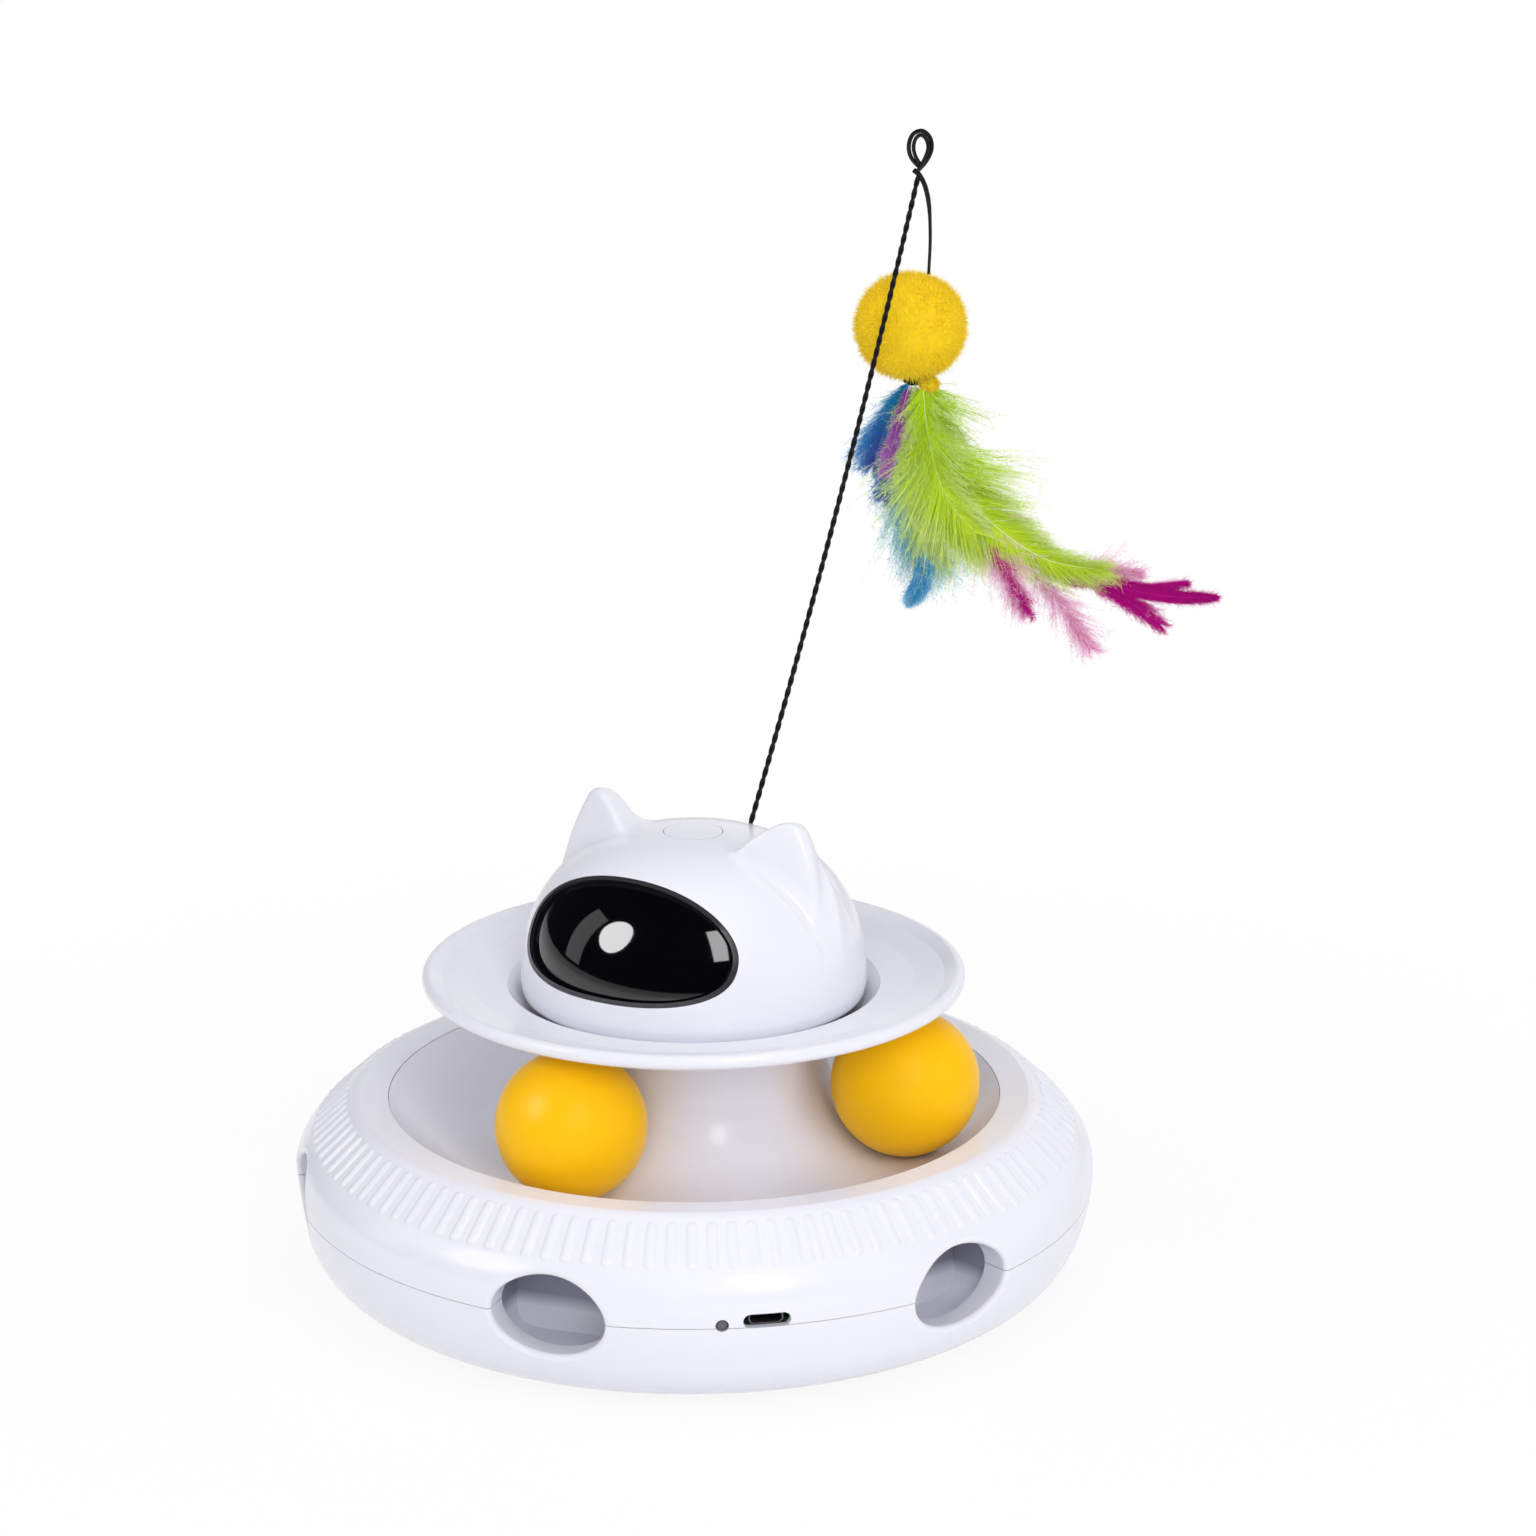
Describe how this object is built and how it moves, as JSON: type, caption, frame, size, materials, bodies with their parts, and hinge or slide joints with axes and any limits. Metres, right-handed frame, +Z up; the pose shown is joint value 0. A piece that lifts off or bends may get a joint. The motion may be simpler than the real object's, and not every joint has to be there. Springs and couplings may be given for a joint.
{
  "type": "automatic cat laser toy",
  "caption": "Domed base with a ball track, side treat holes and a turning cat-shaped laser head that carries a wand with a pompom and feather lure",
  "frame": {"origin": "on the head's turning axis, level with the soles of the feet", "axes": "+Z up, -Y is the way the cat face looks at rest, +X to the right seen from the front"},
  "size_m": [0.218, 0.2738, 0.2964],
  "materials": {
    "shell_white": "white glossy ABS",
    "inner_white": "white ABS, unpolished inner part",
    "visor_black": "black polished window",
    "bezel_grey": "dark grey bevel",
    "ball_yellow": "satin amber yellow plastic",
    "wire_black": "black coated twisted wire",
    "pompom_yellow": "fuzzy yellow yarn",
    "feather_green": "lime green feather",
    "feather_magenta": "magenta feather",
    "feather_pink": "pale pink feather",
    "feather_blue": "blue feather",
    "feather_purple": "purple feather",
    "feather_teal": "teal and pale aqua feather",
    "steel": "plated steel",
    "brass": "sintered brass",
    "rubber_grey": "soft grey rubber",
    "board_green": "green glass-fibre board",
    "chip_black": "black component plastic",
    "cell_blue": "sleeved cell",
    "gear_white": "acetal",
    "lens_clear": "clear lens",
    "lead_red": "insulated lead"
  },
  "bodies": {
    "base": {"base_lower_shell": "shell_white", "base_ring": "shell_white", "track_bowl": "shell_white", "saucer": "shell_white", "treat_pockets": "shell_white", "rubber_feet": "rubber_grey", "base_screws": "steel", "saucer_screws": "steel", "main_board": "board_green", "board_parts": "chip_black", "board_screws": "steel", "usb_port": "steel", "usb_tongue": "chip_black", "led_lens": "lens_clear", "battery_cell": "cell_blue", "battery_holder": "chip_black", "motor_can": "steel", "motor_gearbox": "chip_black", "motor_bracket": "steel", "bracket_screws": "steel", "hub_bush": "brass", "slip_ring": "chip_black", "base_leads": "lead_red"},
    "pinion": {"motor_shaft": "steel", "motor_pinion": "gear_white"},
    "head": {"head_shell": "shell_white", "head_floor": "inner_white", "head_hub": "gear_white", "head_gear": "gear_white", "hub_clip": "steel", "slip_rotor": "chip_black", "visor_bezel": "bezel_grey", "visor_lens": "visor_black", "head_screws": "steel", "tilt_bracket": "inner_white", "tilt_motor": "chip_black", "switch_board": "board_green", "switch_case": "chip_black", "wand_socket": "inner_white", "wand_wire": "wire_black"},
    "laser": {"laser_carrier": "inner_white", "laser_barrel": "brass", "laser_lens": "lens_clear"},
    "button": {"head_button": "shell_white", "switch_plunger": "chip_black"},
    "lure": {"hanger_wire": "wire_black", "pompom": "pompom_yellow", "feather_tie": "wire_black", "feather_green": "feather_green", "feather_lime": "feather_green", "feather_magenta": "feather_magenta", "feather_pink": "feather_pink", "feather_blue": "feather_blue", "feather_purple": "feather_purple", "feather_teal": "feather_teal"},
    "ball_1": {"ball_1": "ball_yellow"},
    "ball_2": {"ball_2": "ball_yellow"}
  },
  "joints": [
    {"name": "head_turn", "type": "hinge", "parent": "base", "child": "head", "pos_m": [0, 0, 0.075], "axis": [0, 0, 1], "continuous": true},
    {"name": "pinion_turn", "type": "hinge", "parent": "base", "child": "pinion", "pos_m": [0, 0.0208, 0.075], "axis": [0, 0, 1], "continuous": true},
    {"name": "laser_tilt", "type": "hinge", "parent": "head", "child": "laser", "pos_m": [0, -0.015, 0.099], "axis": [1, 0, 0], "range_deg": [-12, 18]},
    {"name": "button_press", "type": "slide", "parent": "head", "child": "button", "axis": [0, 0, -1], "range_m": [0, 0.0006], "stiffness_N_per_m": 600, "springref_m": -0.0005},
    {"name": "lure_swing", "type": "hinge", "parent": "head", "child": "lure", "pos_m": [-0.0012, 0.1179, 0.2866], "axis": [0, 1, 0], "range_deg": [-50, 50]},
    {"name": "ball_1_roll", "type": "hinge", "parent": "base", "child": "ball_1", "pos_m": [0, 0, 0.0597], "axis": [0, 0, 1], "range_deg": [-108, 31]},
    {"name": "ball_2_roll", "type": "hinge", "parent": "base", "child": "ball_2", "pos_m": [0, 0, 0.0597], "axis": [0, 0, 1], "range_deg": [-31, 108]}
  ],
  "couplings": [
    {"joint": "pinion_turn", "follows": "head_turn", "ratio": -3.3333}
  ]
}
